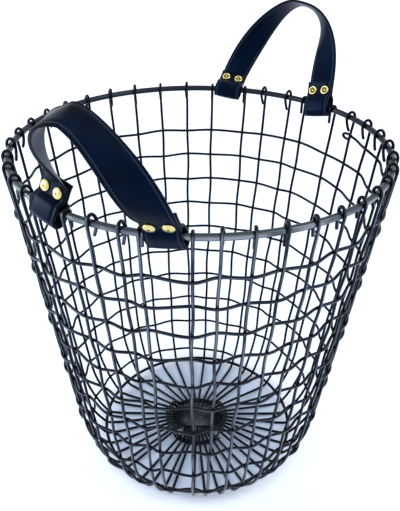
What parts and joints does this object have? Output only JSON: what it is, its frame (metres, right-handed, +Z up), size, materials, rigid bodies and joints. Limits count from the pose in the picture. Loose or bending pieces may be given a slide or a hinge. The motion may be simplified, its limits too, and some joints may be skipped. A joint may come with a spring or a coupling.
{
  "type": "wire storage basket",
  "caption": "Tapered round storage basket of dark woven wire, open at the top, with two riveted leather strap handles that swing on its rim.",
  "frame": {"origin": "on the floor, under the middle of the basket's base", "axes": "+Z up through the open top, +X across the basket between the two handles, near handle towards -Y and far handle towards +Y"},
  "size_m": [0.3248, 0.4339, 0.4151],
  "materials": {
    "wire": "dark gunmetal, satin",
    "leather": "smooth navy black, slight sheen",
    "brass": "polished"
  },
  "bodies": {
    "basket": {"rim_ring": "wire", "upper_stake_wire_01": "wire", "upper_stake_wire_02": "wire", "upper_stake_wire_03": "wire", "upper_stake_wire_04": "wire", "upper_stake_wire_05": "wire", "upper_stake_wire_06": "wire", "upper_stake_wire_07": "wire", "upper_stake_wire_08": "wire", "upper_stake_wire_09": "wire", "upper_stake_wire_10": "wire", "lower_stake_wire_01": "wire", "lower_stake_wire_02": "wire", "lower_stake_wire_03": "wire", "lower_stake_wire_04": "wire", "lower_stake_wire_05": "wire", "lower_stake_wire_06": "wire", "lower_stake_wire_07": "wire", "lower_stake_wire_08": "wire", "lower_stake_wire_09": "wire", "lower_stake_wire_10": "wire", "base_ring": "wire", "hub_binding_wire": "wire", "weaver_wire": "wire"},
    "near_handle": {"near_strap": "leather", "near_rivet_cap_1": "brass", "near_rivet_post_1": "brass", "near_rivet_cap_2": "brass", "near_rivet_post_2": "brass", "near_rivet_cap_3": "brass", "near_rivet_post_3": "brass", "near_rivet_cap_4": "brass", "near_rivet_post_4": "brass"},
    "far_handle": {"far_strap": "leather", "far_rivet_cap_1": "brass", "far_rivet_post_1": "brass", "far_rivet_cap_2": "brass", "far_rivet_post_2": "brass", "far_rivet_cap_3": "brass", "far_rivet_post_3": "brass", "far_rivet_cap_4": "brass", "far_rivet_post_4": "brass"}
  },
  "joints": [
    {"name": "near_handle_swing", "type": "hinge", "parent": "basket", "child": "near_handle", "pos_m": [0.00527, -0.15092, 0.3235], "axis": [0.9994, 0.0349, 0], "range_deg": [-44.5, 30.5]},
    {"name": "far_handle_swing", "type": "hinge", "parent": "basket", "child": "far_handle", "pos_m": [0.00652, 0.14939, 0.3235], "axis": [-0.999, 0.0436, 0], "range_deg": [-59.75, 15.25]}
  ]
}
